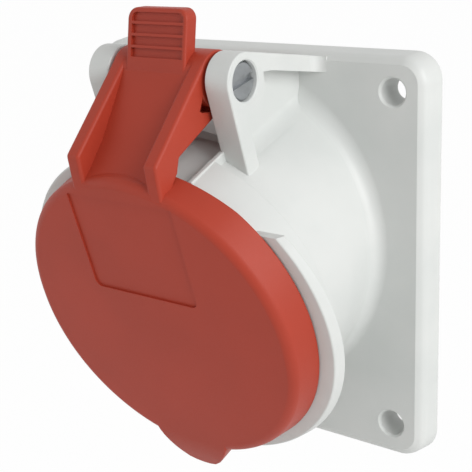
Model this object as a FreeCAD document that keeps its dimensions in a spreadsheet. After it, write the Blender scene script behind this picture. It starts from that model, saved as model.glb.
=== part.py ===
import FreeCAD
import Part
import Sketcher
import math
import os
import re

# Industrial panel socket, five poles, with a sprung hinged lid and an inclined throat.
# Frame: +X to the right seen from the front, +Z up, the front faces -Y.
# The origin is the centre of the square flange's back face.
# The throat's axis leaves the panel at axis_rise and leans down to the front by tilt.
# Heights along that axis are counted from the panel's plane out to the front.

SIZES = (
    ("flange_side", 85.0),
    ("flange_thick", 6.6),
    ("flange_corner", 5.5),
    ("flange_round", 2.4),
    ("bolt_pitch", 70.0),
    ("bolt_hole_dia", 5.5),
    ("tilt", 18.0),
    ("axis_rise", 4.4),
    ("lid_reach", 41.8),
    ("barrel_dia", 64.0),
    ("barrel_front_dia", 61.2),
    ("barrel_fillet", 2.6),
    ("barrel_tail", 4.0),
    ("collar_dia", 65.2),
    ("collar_length", 8.1),
    ("rim_dia", 62.8),
    ("throat_dia", 57.5),
    ("lip_dia", 76.2),
    ("lip_drop", 7.0),
    ("lip_thick", 2.2),
    ("lip_end_rise", 20.7),
    ("lip_round", 0.9),
    ("bore_overrun", 1.0),
    ("keyway_width", 6.4),
    ("keyway_depth", 1.8),
    ("seat_drop", 38.0),
    ("seat_dia", 60.4),
    ("ring_groove_dia", 61.6),
    ("pin_forward", 30.6),
    ("pin_rise", 39.5),
    ("ear_gap", 24.0),
    ("ear_thick", 5.5),
    ("ear_nose_dia", 11.0),
    ("ear_top_fall", 9.0),
    ("ear_strut", 3.7),
    ("ear_top_rib", 4.2),
    ("web_gap", 6.0),
    ("web_inset", 2.2),
    ("web_foot", 30.4),
    ("web_depth", 1.0),
    ("pin_dia", 4.0),
    ("pin_head_dia", 7.4),
    ("pin_head_length", 2.6),
    ("pin_head_sunk", 0.7),
    ("pin_tip_depth", 3.4),
    ("pin_slot_width", 1.0),
    ("pin_slot_depth", 0.9),
    ("pin_slot_turn", 77.0),
    ("pin_clearance", 0.05),
    ("head_clearance", 0.2),
    ("lid_dia", 64.2),
    ("lid_wall", 2.4),
    ("lid_round", 1.6),
    ("skirt_dia", 68.2),
    ("skirt_depth", 6.3),
    ("skirt_wall", 2.0),
    ("cavity_dia", 61.4),
    ("field_width", 26.2),
    ("field_top", 28.0),
    ("field_height", 22.0),
    ("field_depth", 0.35),
    ("field_round", 1.6),
    ("rib_inside", 16.0),
    ("rib_outside", 22.5),
    ("rib_peak", 36.3),
    ("rib_peak_drop", 0.9),
    ("rib_heel", 34.5),
    ("rib_heel_drop", 7.8),
    ("rib_front_lean", 42.6),
    ("rib_back_lean", 62.4),
    ("knuckle_dia", 11.2),
    ("hub_dia", 8.8),
    ("hub_play", 0.25),
    ("boss_recess_dia", 14.0),
    ("boss_recess_depth", 1.2),
    ("panel_lean", 32.6),
    ("panel_wall", 2.0),
    ("spring_room_dia", 7.8),
    ("spring_room_length", 15.2),
    ("tab_width", 14.4),
    ("tab_rise", 13.4),
    ("tab_thick", 3.3),
    ("tab_lean", 7.8),
    ("tab_round", 2.4),
    ("grip_width", 11.2),
    ("grip_depth", 0.5),
    ("grip_first", 4.1),
    ("grip_window", 1.75),
    ("grip_pitch", 2.28),
    ("lobe_width", 18.6),
    ("lobe_tip_width", 8.0),
    ("lobe_reach", 39.6),
    ("lobe_drop", 1.9),
    ("lobe_thick", 2.4),
    ("lobe_round", 3.0),
    ("latch_width", 6.0),
    ("latch_rise", 25.4),
    ("latch_thick", 2.6),
    ("latch_drop", 7.6),
    ("latch_hook", 1.0),
    ("seal_outer_dia", 61.0),
    ("seal_inner_dia", 56.6),
    ("seal_thick", 2.9),
    ("seal_gap", 0.1),
    ("seal_fence_wall", 0.9),
    ("seal_fence_height", 1.8),
    ("panel_seal_outer", 80.8),
    ("panel_seal_inner", 76.4),
    ("panel_seal_thick", 1.5),
    ("spring_wire", 0.9),
    ("spring_turns", 6.5),
    ("spring_play", 0.35),
    ("spring_pitch", 1.2),
    ("spring_leg", 9.0),
    ("carrier_dia", 46.0),
    ("carrier_sunk", 9.0),
    ("carrier_flange_dia", 60.0),
    ("carrier_flange_thick", 3.0),
    ("pole_circle_dia", 30.0),
    ("pole_pin_dia", 5.0),
    ("earth_pin_dia", 7.0),
    ("contact_clearance", 0.12),
    ("entry_clearance", 0.6),
    ("entry_depth", 3.0),
    ("contact_wall", 1.1),
    ("contact_depth", 22.0),
    ("contact_slit", 0.6),
    ("contact_slit_depth", 12.0),
    ("bore_clearance", 0.5),
    ("clamp_dia", 8.2),
    ("clamp_length", 12.0),
    ("wire_dia", 3.8),
    ("wire_depth", 9.0),
    ("clip_width", 1.6),
    ("clip_thick", 0.8),
    ("clip_groove", 0.4),
    ("clip_drop", 3.0),
    ("clip_gap_angle", 36.0),
    ("block_dia", 43.0),
    ("block_length", 14.0),
    ("fit_gap", 0.1),
    ("joint_screw_dia", 3.9),
    ("joint_screw_length", 14.0),
    ("screw_tip_room", 1.0),
    ("joint_head_dia", 7.0),
    ("joint_head_height", 2.4),
    ("clamp_screw_dia", 2.9),
    ("clamp_screw_length", 6.0),
    ("clamp_screw_drop", 6.2),
    ("lock_ring_width", 3.2),
    ("lock_ring_thick", 1.2),
    ("lock_ring_gap_angle", 24.0),
)

GRIP_WINDOWS = 4

# Pole name and its turn about the throat's axis from the top, clockwise seen from the front.
POLES = (
    ("pe", 180),
    ("n", 252),
    ("l1", 324),
    ("l2", 36),
    ("l3", 108),
)

NAMES = {name for name, value in SIZES}

document = FreeCAD.newDocument("PanelSocket")
sheet = document.addObject("Spreadsheet::Sheet", "Sizes")
for row, (name, value) in enumerate(SIZES, start=1):
    sheet.set("A%d" % row, name)
    sheet.set("B%d" % row, str(value))
    sheet.setAlias("B%d" % row, name)
document.recompute()


def cells(text):
    """Writes every size in an expression as its cell in the sheet."""
    return re.sub(r"[a-z_]+", lambda word: cell(word.group()), text)


def cell(word):
    return "Sizes." + word if word in NAMES else word


def bind(thing, name, text):
    thing.setExpression(name, cells(text))


def size(name):
    return float(sheet.get(name))


# Expressions that several pieces share
PIN_HEIGHT = "(pin_forward * cos(tilt) - (pin_rise - axis_rise) * sin(tilt))"
EAR_FRONT = "(%s + ear_nose_dia / 2)" % PIN_HEIGHT
EAR_OUTER = "(ear_gap / 2 + ear_thick)"
LIP_FRONT = "(lid_reach - lip_drop)"
RIM_FRONT = "(lid_reach - lid_wall - seal_thick - seal_gap)"
SEAT_HEIGHT = "(lid_reach - seat_drop)"
CARRIER_FACE = "(lid_reach - carrier_sunk)"
CARRIER_BACK = "(%s - carrier_flange_thick)" % SEAT_HEIGHT
SLEEVE_FRONT = "(%s - entry_depth)" % CARRIER_FACE
BLOCK_FRONT = "(%s - fit_gap)" % CARRIER_BACK
CLAMP_HEIGHT = "(%s - clamp_screw_drop)" % BLOCK_FRONT


def at_throat(up, height):
    """A point of the middle plane, given square to and along the throat's axis."""
    forward = "-((%s) * cos(tilt) + (%s) * sin(tilt))" % (height, up)
    rise = "axis_rise + (%s) * cos(tilt) - (%s) * sin(tilt)" % (up, height)
    return (forward, rise)


def by_pin(forward, rise):
    """A point of the middle plane, given from the hinge pin."""
    return ("-pin_forward - (%s)" % forward, "pin_rise + (%s)" % rise)


def new_body(label):
    body = document.addObject("PartDesign::Body", label)
    body.Label = label
    return body


def origin_plane(body, role):
    return [plane for plane in body.Origin.OriginFeatures if plane.Role == role][0]


def new_sketch(body, role, offset="0"):
    """A sketch on one of the body's planes, moved along the plane's normal."""
    sketch = body.newObject("Sketcher::SketchObject", body.Label + "_sketch")
    sketch.AttachmentSupport = [(origin_plane(body, role), "")]
    sketch.MapMode = "FlatFace"
    bind(sketch, "AttachmentOffset.Base.z", offset)
    return sketch


def axial_sketch(body):
    """A sketch in the middle plane: its x runs back along the throat's axis."""
    sketch = new_sketch(body, "YZ_Plane")
    sketch.AttachmentOffset = FreeCAD.Placement(
        FreeCAD.Vector(), FreeCAD.Rotation(FreeCAD.Vector(0, 0, 1), size("tilt")))
    bind(sketch, "AttachmentOffset.Rotation.Angle", "tilt")
    bind(sketch, "AttachmentOffset.Base.y", "axis_rise")
    return sketch


def leaning_sketch(body, angle, rise, forward):
    """A sketch facing the front, leaning down by an angle at a point of the middle plane."""
    sketch = new_sketch(body, "XZ_Plane")
    sketch.AttachmentOffset = FreeCAD.Placement(
        FreeCAD.Vector(), FreeCAD.Rotation(FreeCAD.Vector(1, 0, 0), 1))
    bind(sketch, "AttachmentOffset.Rotation.Angle", angle)
    bind(sketch, "AttachmentOffset.Base.y", rise)
    bind(sketch, "AttachmentOffset.Base.z", forward)
    return sketch


def throat_sketch(body, height):
    """A sketch square to the throat's axis: its x is +X and its y points up the lid."""
    return leaning_sketch(body, "tilt", "axis_rise - (%s) * sin(tilt)" % height,
                          "(%s) * cos(tilt)" % height)


def fix_point(sketch, edge, end, place):
    for kind, text in zip(("DistanceX", "DistanceY"), place):
        number = sketch.addConstraint(Sketcher.Constraint(kind, -1, 1, edge, end, 1.0))
        bind(sketch, "Constraints[%d]" % number, text)


def outline(sketch, points):
    """A closed straight-sided outline through the given points."""
    first = sketch.GeometryCount
    count = len(points)
    corners = [FreeCAD.Vector(math.cos(turn), math.sin(turn), 0)
               for turn in (2 * math.pi * index / count for index in range(count + 1))]
    for index in range(count):
        sketch.addGeometry(Part.LineSegment(corners[index], corners[index + 1]))
    for index in range(count):
        following = first + (index + 1) % count
        sketch.addConstraint(Sketcher.Constraint("Coincident", first + index, 2, following, 1))
    for index, place in enumerate(points):
        fix_point(sketch, first + index, 1, place)


def rectangle(sketch, left, right, bottom, top):
    outline(sketch, [(left, bottom), (right, bottom), (right, top), (left, top)])


def circle(sketch, place, diameter):
    edge = sketch.addGeometry(Part.Circle(FreeCAD.Vector(), FreeCAD.Vector(0, 0, 1), 1.0))
    fix_point(sketch, edge, 3, place)
    number = sketch.addConstraint(Sketcher.Constraint("Diameter", edge, 2.0))
    bind(sketch, "Constraints[%d]" % number, diameter)


def add_feature(body, kind, sketch, length=None, middle=False, reverse=False):
    feature = body.newObject("PartDesign::" + kind, body.Label + "_" + kind.lower())
    feature.Profile = sketch
    if length:
        bind(feature, "Length", length)
        feature.SideType = "Symmetric" if middle else "One side"
    feature.Reversed = reverse
    document.recompute()
    return feature


def turned(body, kind, sketch, axis="H_Axis", angle=None):
    feature = body.newObject("PartDesign::" + kind, body.Label + "_" + kind.lower())
    feature.Profile = sketch
    feature.ReferenceAxis = (sketch, [axis])
    if angle:
        bind(feature, "Angle", angle)
    else:
        feature.Angle = 360.0
    document.recompute()
    return feature


def mirrored(body, features):
    mirror = body.newObject("PartDesign::Mirrored", body.Label + "_mirrored")
    mirror.Originals = features
    mirror.MirrorPlane = (origin_plane(body, "YZ_Plane"), [""])
    body.Tip = mirror
    document.recompute()
    return mirror


def rounded(body, radius, test):
    """Rounds the edges of the body's last feature that the test picks."""
    base = body.Tip
    names = ["Edge%d" % number for number, edge in enumerate(base.Shape.Edges, start=1)
             if test(edge)]
    fillet = body.newObject("PartDesign::Fillet", body.Label + "_fillet")
    fillet.Base = (base, names)
    bind(fillet, "Radius", radius)
    document.recompute()
    return fillet


def near(value, target, room=0.02):
    return abs(value - target) < room


def throat_place(point):
    """Height along and distance from the throat's axis of a point of the model."""
    tilt = math.radians(size("tilt"))
    rise = point.z - size("axis_rise")
    height = -point.y * math.cos(tilt) - rise * math.sin(tilt)
    up = -point.y * math.sin(tilt) + rise * math.cos(tilt)
    return height, math.hypot(point.x, up)


def ring_edge(edge, height, radius):
    """True for an edge that lies on the circle of that height and radius round the axis."""
    places = [throat_place(edge.valueAt(where)) for where in sample(edge)]
    return all(near(place[0], height) and near(place[1], radius) for place in places)


def sample(edge):
    first, last = edge.ParameterRange
    return [first + (last - first) * step / 4 for step in range(5)]


def on_throat_axis(body):
    """Puts a body's own XY plane square to the throat's axis, its z out to the front."""
    body.Placement = FreeCAD.Placement(
        FreeCAD.Vector(), FreeCAD.Rotation(FreeCAD.Vector(1, 0, 0), 90 + size("tilt")))
    bind(body, "Placement.Rotation.Angle", "90 + tilt")
    bind(body, "Placement.Base.z", "axis_rise")


def on_pole(body, turn):
    """Puts a body's z on a pole's axis, its origin in the panel's plane and its y outward."""
    lean = FreeCAD.Rotation(FreeCAD.Vector(1, 0, 0), 90 + size("tilt"))
    around = FreeCAD.Rotation(FreeCAD.Vector(0, 0, 1), -turn)
    body.Placement = FreeCAD.Placement(FreeCAD.Vector(), lean.multiply(around))
    across, up = ("(%s)" % text for text in pole_place(turn))
    bind(body, "Placement", "placement(vector(%s; -%s * sin(tilt); axis_rise + %s * cos(tilt));"
         " rotation(vector(1; 0; 0); 90 + tilt) * rotation(vector(0; 0; 1); -%d))"
         % (across, up, up, turn))


def pole_place(turn):
    return ("pole_circle_dia / 2 * sin(%d)" % turn, "pole_circle_dia / 2 * cos(%d)" % turn)


def pole_pin(pole):
    return "earth_pin_dia" if pole == "pe" else "pole_pin_dia"


# Housing: one moulding of flange, inclined barrel, collar, arc lip and two hinge ears
def make_housing():
    body = new_body("housing")
    make_flange(body)
    make_barrel(body)
    make_lip(body)
    make_ears(body)
    make_throat(body)
    make_flange_cuts(body)
    make_pin_bores(body)
    return body


def make_flange(body):
    sketch = new_sketch(body, "XZ_Plane")
    rectangle(sketch, "-flange_side / 2", "flange_side / 2", "-flange_side / 2", "flange_side / 2")
    add_feature(body, "Pad", sketch, "flange_thick")
    rounded(body, "flange_corner", lambda edge: near(edge.BoundBox.YLength, size("flange_thick")))
    front = -size("flange_thick")
    rounded(body, "flange_round", lambda edge: near(edge.BoundBox.YMin, front)
            and near(edge.BoundBox.YMax, front))


def make_barrel(body):
    sketch = axial_sketch(body)
    seam = "-(%s - collar_length)" % LIP_FRONT
    outline(sketch, [
        ("-" + RIM_FRONT, "0"),
        ("-" + RIM_FRONT, "rim_dia / 2"),
        ("-" + LIP_FRONT, "rim_dia / 2"),
        ("-" + LIP_FRONT, "collar_dia / 2"),
        (seam, "collar_dia / 2"),
        (seam, "barrel_front_dia / 2"),
        ("barrel_tail", "barrel_dia / 2"),
        ("barrel_tail", "0"),
    ])
    turned(body, "Revolution", sketch)
    front = -size("flange_thick")
    rounded(body, "barrel_fillet", lambda edge: near(edge.BoundBox.YMin, front)
            and edge.Curve.TypeId == "Part::GeomEllipse")


def make_lip(body):
    """The ledge behind the lid: a disc cut off level above, so it rings the lower collar."""
    sketch = throat_sketch(body, "(%s - lip_thick)" % LIP_FRONT)
    radius = size("lip_dia") / 2
    start = math.asin(size("lip_end_rise") / radius)
    ring = Part.Circle(FreeCAD.Vector(), FreeCAD.Vector(0, 0, 1), radius)
    arc = sketch.addGeometry(Part.ArcOfCircle(ring, math.pi - start, 2 * math.pi + start))
    left = FreeCAD.Vector(-radius * math.cos(start), radius * math.sin(start), 0)
    right = FreeCAD.Vector(radius * math.cos(start), radius * math.sin(start), 0)
    chord = sketch.addGeometry(Part.LineSegment(right, left))
    sketch.addConstraint(Sketcher.Constraint("Coincident", arc, 2, chord, 1))
    sketch.addConstraint(Sketcher.Constraint("Coincident", chord, 2, arc, 1))
    sketch.addConstraint(Sketcher.Constraint("Coincident", arc, 3, -1, 1))
    sketch.addConstraint(Sketcher.Constraint("Horizontal", chord))
    number = sketch.addConstraint(Sketcher.Constraint("Diameter", arc, 2 * radius))
    bind(sketch, "Constraints[%d]" % number, "lip_dia")
    number = sketch.addConstraint(Sketcher.Constraint("DistanceY", -1, 1, chord, 1, 1.0))
    bind(sketch, "Constraints[%d]" % number, "lip_end_rise")
    add_feature(body, "Pad", sketch, "lip_thick")
    height = size("lid_reach") - size("lip_drop")
    rounded(body, "lip_round", lambda edge: ring_edge(edge, height, radius))


def ear_top(forward):
    """Height of the ear's top edge at a distance in front of the panel."""
    return ("(pin_rise + ear_nose_dia / 2 / cos(ear_top_fall)"
            " - tan(ear_top_fall) * (pin_forward - (%s)))" % forward)


def make_ears(body):
    outside = new_sketch(body, "YZ_Plane", "ear_gap / 2")
    half_flange = "flange_thick / 2"
    outline(outside, [
        by_pin("ear_nose_dia / 2 * cos(tilt)", "-ear_nose_dia / 2 * sin(tilt)"),
        at_throat("throat_dia / 2 - ear_thick", EAR_FRONT),
        ("-" + half_flange, "throat_dia / 2 - ear_thick"),
        ("-" + half_flange, ear_top(half_flange)),
        by_pin("-ear_nose_dia / 2 * sin(ear_top_fall)", "ear_nose_dia / 2 * cos(ear_top_fall)"),
    ])
    plate = add_feature(body, "Pad", outside, "ear_thick")
    round_nose = new_sketch(body, "YZ_Plane", "ear_gap / 2")
    circle(round_nose, by_pin("0", "0"), "ear_nose_dia")
    nose = add_feature(body, "Pad", round_nose, "ear_thick")
    web_front = "(pin_forward - web_gap)"
    web_back = "(flange_thick + web_inset)"
    pocket = new_sketch(body, "YZ_Plane", EAR_OUTER)
    outline(pocket, [
        ("-" + web_front, ear_top(web_front) + " - ear_top_rib"),
        ("-" + web_back, ear_top(web_back) + " - ear_top_rib"),
        at_throat("web_foot", "(%s - web_foot * sin(tilt)) / cos(tilt)" % web_back),
        at_throat("web_foot", EAR_FRONT + " - ear_strut"),
    ])
    web = add_feature(body, "Pocket", pocket, "web_depth")
    mirrored(body, [plate, nose, web])


def make_throat(body):
    sketch = axial_sketch(body)
    outline(sketch, [
        ("-(lid_reach + bore_overrun)", "0"),
        ("-(lid_reach + bore_overrun)", "throat_dia / 2"),
        ("-" + SEAT_HEIGHT, "throat_dia / 2"),
        ("-" + SEAT_HEIGHT, "seat_dia / 2"),
        ("flange_thick + barrel_dia / 2 * tan(tilt)", "seat_dia / 2"),
        ("flange_thick + barrel_dia / 2 * tan(tilt)", "0"),
    ])
    turned(body, "Groove", sketch)
    groove = axial_sketch(body)
    rectangle(groove, "-(%s - fit_gap / 2)" % CARRIER_BACK,
              "-(%s - lock_ring_thick - 3 * fit_gap / 2)" % CARRIER_BACK,
              "throat_dia / 2", "ring_groove_dia / 2")
    turned(body, "Groove", groove)
    keyway = throat_sketch(body, RIM_FRONT)
    rectangle(keyway, "-keyway_width / 2", "keyway_width / 2",
              "-(throat_dia / 2 + keyway_depth)", "-(throat_dia / 2 - keyway_depth)")
    add_feature(body, "Pocket", keyway, "%s - %s" % (RIM_FRONT, SEAT_HEIGHT))


def make_flange_cuts(body):
    holes = new_sketch(body, "XZ_Plane")
    for across in ("-", ""):
        for up in ("-", ""):
            circle(holes, (across + "bolt_pitch / 2", up + "bolt_pitch / 2"), "bolt_hole_dia")
    add_feature(body, "Pocket", holes, "2 * flange_thick", middle=True)
    groove = new_sketch(body, "XZ_Plane")
    circle(groove, ("0", "0"), "panel_seal_outer")
    circle(groove, ("0", "0"), "panel_seal_inner")
    add_feature(body, "Pocket", groove, "panel_seal_thick", reverse=True)


def make_pin_bores(body):
    shank = new_sketch(body, "YZ_Plane", "-(ear_gap / 2 + pin_tip_depth + fit_gap)")
    circle(shank, by_pin("0", "0"), "pin_dia + 2 * pin_clearance")
    add_feature(body, "Pocket", shank, "ear_gap + 2 * ear_thick", reverse=True)
    head = new_sketch(body, "YZ_Plane", EAR_OUTER)
    circle(head, by_pin("0", "0"), "pin_head_dia + 2 * head_clearance")
    add_feature(body, "Pocket", head, "pin_head_sunk + pin_head_length")


# Lid: one moulding of dished disc, two cheek ribs, sloping panel, grip tab and thumb lobe
def make_lid():
    body = new_body("lid")
    make_lid_dish(body)
    make_lobe(body)
    make_hinge_arm(body)
    make_tab(body)
    make_hinge_cuts(body)
    make_lid_inside(body)
    return body


def make_lid_dish(body):
    sketch = axial_sketch(body)
    outline(sketch, [
        ("-lid_reach", "0"),
        ("-lid_reach", "lid_dia / 2"),
        ("-(lid_reach - skirt_depth)", "skirt_dia / 2"),
        ("-(lid_reach - skirt_depth)", "skirt_dia / 2 - skirt_wall"),
        ("-(lid_reach - lid_wall)", "cavity_dia / 2"),
        ("-(lid_reach - lid_wall)", "0"),
    ])
    turned(body, "Revolution", sketch)
    height = size("lid_reach")
    rounded(body, "lid_round", lambda edge: ring_edge(edge, height, size("lid_dia") / 2))
    field = throat_sketch(body, "lid_reach")
    rectangle(field, "-field_width / 2", "field_width / 2", "field_top - field_height", "field_top")
    add_feature(body, "Pocket", field, "field_depth")
    low = size("field_top") - size("field_height")
    rounded(body, "field_round", lambda edge: near(edge.Length, size("field_depth"))
            and near(throat_place(edge.CenterOfMass)[1], math.hypot(size("field_width") / 2, low)))


def make_lobe(body):
    """The thumb lobe that lifts the lid, on the lower edge of the disc."""
    sketch = throat_sketch(body, "lid_reach - lobe_drop - lobe_thick")
    root = "-sqrt(lid_dia * lid_dia - lobe_width * lobe_width) / 2"
    waist = "-(lid_dia / 2 + lobe_thick)"
    outline(sketch, [
        ("0", "-lid_dia / 2"),
        ("-lobe_width / 2", root),
        ("-lobe_width / 2", waist),
        ("-lobe_tip_width / 2", "-lobe_reach"),
        ("lobe_tip_width / 2", "-lobe_reach"),
        ("lobe_width / 2", waist),
        ("lobe_width / 2", root),
    ])
    add_feature(body, "Pad", sketch, "lobe_thick")
    rounded(body, "lobe_round", lambda edge: near(edge.Length, size("lobe_thick"))
            and throat_place(edge.CenterOfMass)[1] > size("lid_dia") / 2 + size("lobe_thick"))


def make_hinge_arm(body):
    """Two cheek ribs with a sloping panel between them, running up to the knuckle."""
    knuckle = "knuckle_dia / 2"
    inside = "(cavity_dia / 2 + fit_gap)"
    root = "sqrt(%s * %s - rib_inside * rib_inside / 4)" % (inside, inside)
    rib_sketch = new_sketch(body, "YZ_Plane", "rib_inside / 2")
    outline(rib_sketch, [
        at_throat(root, "lid_reach"),
        at_throat("rib_peak", "lid_reach - rib_peak_drop"),
        by_pin(knuckle + " * cos(rib_front_lean)", knuckle + " * sin(rib_front_lean)"),
        by_pin("0", "0"),
        by_pin("-%s * cos(rib_back_lean)" % knuckle, "-%s * sin(rib_back_lean)" % knuckle),
        at_throat("rib_heel", "lid_reach - rib_heel_drop"),
        at_throat("skirt_dia / 2 - skirt_wall", "lid_reach - skirt_depth"),
        at_throat(root, "lid_reach - lid_wall"),
    ])
    rib = add_feature(body, "Pad", rib_sketch, "(rib_outside - rib_inside) / 2")
    mirrored(body, [rib])
    end = new_sketch(body, "YZ_Plane")
    circle(end, by_pin("0", "0"), "knuckle_dia")
    add_feature(body, "Pad", end, "rib_outside", middle=True)
    panel = new_sketch(body, "YZ_Plane")
    outline(panel, [
        at_throat("lid_dia / 2 - lid_round / 2", "lid_reach"),
        by_pin(knuckle + " * cos(panel_lean)", knuckle + " * sin(panel_lean)"),
        by_pin("(%s - panel_wall) * cos(panel_lean)" % knuckle,
               "(%s - panel_wall) * sin(panel_lean)" % knuckle),
        at_throat("(skirt_dia - skirt_wall / 2) / 2", "lid_reach - skirt_depth"),
        at_throat("skirt_dia / 2 - skirt_wall", "lid_reach - skirt_depth"),
        at_throat(inside, "lid_reach - lid_wall"),
    ])
    add_feature(body, "Pad", panel, "rib_inside + 2 * fit_gap", middle=True)


def make_tab(body):
    """The grip tab above the hinge, with a framed field of thin cross ridges."""
    lean = "tab_rise * tan(tab_lean)"
    front = "knuckle_dia / 2"
    sketch = new_sketch(body, "YZ_Plane")
    outline(sketch, [
        by_pin(front, "0"),
        by_pin("%s - %s" % (front, lean), "tab_rise"),
        by_pin("%s - %s - tab_thick" % (front, lean), "tab_rise"),
        by_pin("%s - tab_thick" % front, "0"),
    ])
    add_feature(body, "Pad", sketch, "tab_width", middle=True)
    top = size("pin_rise") + size("tab_rise")
    rounded(body, "tab_round", lambda edge: near(edge.BoundBox.XLength, 0)
            and near(edge.BoundBox.ZMin, top))
    grip = leaning_sketch(body, "-tab_lean", "pin_rise", "pin_forward + knuckle_dia / 2")
    for index in range(GRIP_WINDOWS):
        bottom = "(grip_first + %d * grip_pitch)" % index
        rectangle(grip, "-grip_width / 2", "grip_width / 2", bottom, bottom + " + grip_window")
    add_feature(body, "Pocket", grip, "grip_depth")


def make_hinge_cuts(body):
    """Side recesses that clear the ears, the hubs, the spring's room and the pin's bore."""
    deep = "(rib_outside / 2 - boss_recess_depth)"
    recess = new_sketch(body, "YZ_Plane", deep)
    circle(recess, by_pin("0", "0"), "boss_recess_dia")
    cut = add_feature(body, "Pocket", recess, "2 * boss_recess_depth", reverse=True)
    mirrored(body, [cut])
    hub = new_sketch(body, "YZ_Plane")
    circle(hub, by_pin("0", "0"), "hub_dia")
    add_feature(body, "Pad", hub, "ear_gap - 2 * hub_play", middle=True)
    room = new_sketch(body, "YZ_Plane")
    circle(room, by_pin("0", "0"), "spring_room_dia")
    add_feature(body, "Pocket", room, "spring_room_length", middle=True)
    opened = new_sketch(body, "YZ_Plane")
    under = "(knuckle_dia / 2 - panel_wall)"
    top = by_pin(under + " * cos(panel_lean)", under + " * sin(panel_lean)")
    low = "(%s * cos(panel_lean) + knuckle_dia / 2 * sin(panel_lean))" % under
    foot = "(%s * sin(panel_lean) - knuckle_dia / 2 * cos(panel_lean))" % under
    outline(opened, [
        by_pin("0", "knuckle_dia"),
        by_pin("-knuckle_dia", "knuckle_dia"),
        by_pin("-knuckle_dia", "-knuckle_dia"),
        by_pin(low, "-knuckle_dia"),
        by_pin(low, foot),
        top,
        by_pin("0", under + " * sin(panel_lean)"),
    ])
    add_feature(body, "Pocket", opened, "spring_room_length", middle=True)
    bore = new_sketch(body, "YZ_Plane")
    circle(bore, by_pin("0", "0"), "pin_dia + 2 * pin_clearance")
    add_feature(body, "Pocket", bore, "2 * ear_gap", middle=True)


def make_lid_inside(body):
    """The low fence that holds the seal and the nose that holds a plug in."""
    fence = axial_sketch(body)
    base = "-(lid_reach - lid_wall + fit_gap)"
    rectangle(fence, base, "-(lid_reach - lid_wall - seal_fence_height)",
              "seal_inner_dia / 2 - fit_gap - seal_fence_wall", "seal_inner_dia / 2 - fit_gap")
    turned(body, "Revolution", fence)
    nose = axial_sketch(body)
    outline(nose, [
        (base, "-latch_rise"),
        ("-(lid_reach - latch_drop)", "-latch_rise"),
        ("-(lid_reach - latch_drop)", "-(latch_rise - latch_thick - latch_hook)"),
        ("-(lid_reach - latch_drop + latch_hook)", "-(latch_rise - latch_thick - latch_hook)"),
        ("-(lid_reach - latch_drop + 2 * latch_hook)", "-(latch_rise - latch_thick)"),
        (base, "-(latch_rise - latch_thick)"),
    ])
    add_feature(body, "Pad", nose, "latch_width", middle=True)


# Lid seal: a flat rubber ring under the disc
def make_lid_seal():
    body = new_body("lid_gasket")
    sketch = axial_sketch(body)
    rectangle(sketch, "-(lid_reach - lid_wall)", "-(lid_reach - lid_wall - seal_thick)",
              "seal_inner_dia / 2", "seal_outer_dia / 2")
    turned(body, "Revolution", sketch)


# Panel seal: a rubber ring in the groove of the flange's back
def make_panel_seal():
    body = new_body("flange_gasket")
    sketch = new_sketch(body, "XZ_Plane")
    circle(sketch, ("0", "0"), "panel_seal_outer")
    circle(sketch, ("0", "0"), "panel_seal_inner")
    add_feature(body, "Pad", sketch, "panel_seal_thick")


# Hinge pin: a turned steel pin with a slotted head in the right ear
def make_hinge_pin():
    body = new_body("hinge_pin")
    seat = "(%s - pin_head_sunk - pin_head_length)" % EAR_OUTER
    shank = new_sketch(body, "YZ_Plane", "-(ear_gap / 2 + pin_tip_depth)")
    circle(shank, by_pin("0", "0"), "pin_dia")
    add_feature(body, "Pad", shank, seat + " + ear_gap / 2 + pin_tip_depth")
    head = new_sketch(body, "YZ_Plane", seat)
    circle(head, by_pin("0", "0"), "pin_head_dia")
    add_feature(body, "Pad", head, "pin_head_length")
    slot = new_sketch(body, "YZ_Plane", "%s - pin_head_sunk" % EAR_OUTER)
    along = ("pin_head_dia * sin(pin_slot_turn)", "pin_head_dia * cos(pin_slot_turn)")
    beside = ("pin_slot_width / 2 * cos(pin_slot_turn)", "pin_slot_width / 2 * sin(pin_slot_turn)")
    outline(slot, [
        by_pin("-%s - %s" % (along[0], beside[0]), "%s - %s" % (along[1], beside[1])),
        by_pin("-%s + %s" % (along[0], beside[0]), "%s + %s" % (along[1], beside[1])),
        by_pin("%s + %s" % (along[0], beside[0]), "-%s + %s" % (along[1], beside[1])),
        by_pin("%s - %s" % (along[0], beside[0]), "-%s - %s" % (along[1], beside[1])),
    ])
    add_feature(body, "Pocket", slot, "pin_slot_depth")


# Lid spring: a torsion spring round the pin, one leg under the panel and one on the barrel
def make_lid_spring():
    wire = size("spring_wire")
    radius = size("pin_dia") / 2 + size("spring_play") + wire / 2
    length = size("spring_pitch") * size("spring_turns")
    coil = Part.makeHelix(size("spring_pitch"), length, radius)
    ring = Part.makeCircle(wire / 2, FreeCAD.Vector(radius, 0, 0), FreeCAD.Vector(0, 1, 0))
    turns = Part.Wire(coil.Edges).makePipeShell([Part.Wire(ring)], True, True)
    out = FreeCAD.Vector(0, -1, 0)
    lid_leg = Part.makeCylinder(wire / 2, size("spring_leg"), FreeCAD.Vector(radius, 0, 0), out)
    tilt = math.radians(size("tilt"))
    lean = math.radians(size("panel_lean"))
    pin_up = (size("pin_forward") * math.sin(tilt)
              + (size("pin_rise") - size("axis_rise")) * math.cos(tilt))
    start_up = pin_up - radius * math.sin(lean + tilt)
    rest = (start_up - size("barrel_dia") / 2 - wire) / math.cos(lean + tilt)
    rest_leg = Part.makeCylinder(wire / 2, rest, FreeCAD.Vector(-radius, 0, length), out)
    piece = document.addObject("Part::Feature", "lid_spring")
    piece.Shape = turns.fuse([lid_leg, rest_leg])
    away = FreeCAD.Vector(0, -math.cos(lean), math.sin(lean))
    back = FreeCAD.Vector(0, math.sin(lean), math.cos(lean))
    side = FreeCAD.Vector(-1, 0, 0)
    pin = FreeCAD.Vector(length / 2, -size("pin_forward"), size("pin_rise"))
    piece.Placement = FreeCAD.Placement(pin, FreeCAD.Rotation(away, back, side))


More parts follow.
